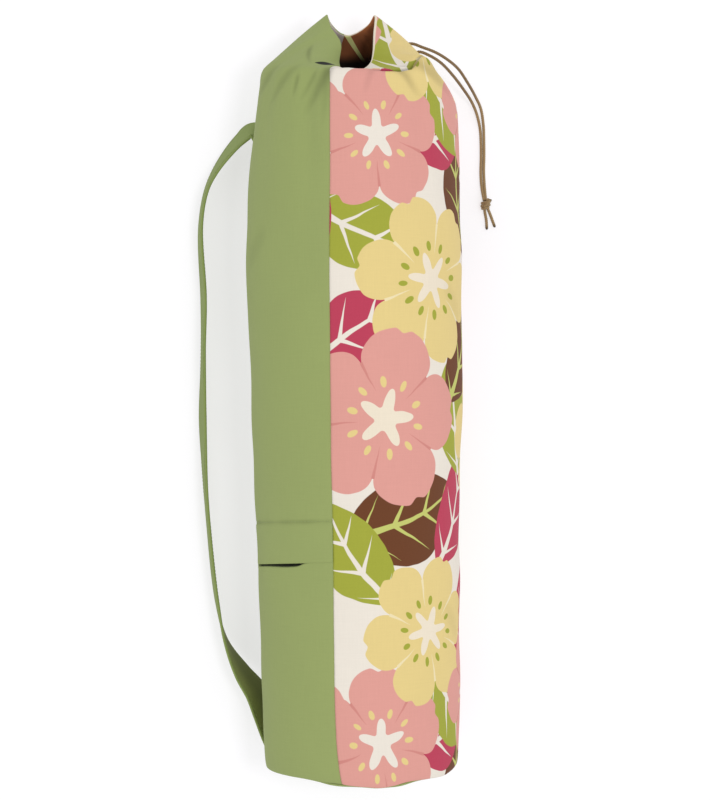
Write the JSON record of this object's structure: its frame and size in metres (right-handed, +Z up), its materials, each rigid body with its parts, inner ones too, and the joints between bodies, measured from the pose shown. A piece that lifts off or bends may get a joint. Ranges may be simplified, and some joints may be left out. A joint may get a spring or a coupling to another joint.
{
  "type": "yoga mat bag",
  "caption": "Tubular drawstring bag for a rolled exercise mat, in plain and printed canvas, with a round base, side pocket, shoulder strap and knotted cord.",
  "frame": {"origin": "centre of the flat underside on which the filled bag lies, at mid length", "axes": "+Z up, the face that is seen looks up; +Y along the tube towards its mouth; +X to the right of someone who looks down at it with the mouth away from them"},
  "size_m": [0.2809, 0.6744, 0.1884],
  "materials": {
    "printed_canvas": "matt cotton canvas with a flower print",
    "green_canvas": "matt dyed cotton canvas",
    "strap_canvas": "matt dyed cotton canvas, folded and edge stitched",
    "cord_cotton": "waxed cotton cord"
  },
  "bodies": {
    "root": {"panel_print": "printed_canvas", "panel_plain": "green_canvas", "pocket_panel": "green_canvas", "base_disc": "green_canvas", "strap": "strap_canvas", "drawstring_strand_a": "cord_cotton", "drawstring_strand_b": "cord_cotton", "drawstring_knot": "cord_cotton"}
  },
  "joints": []
}
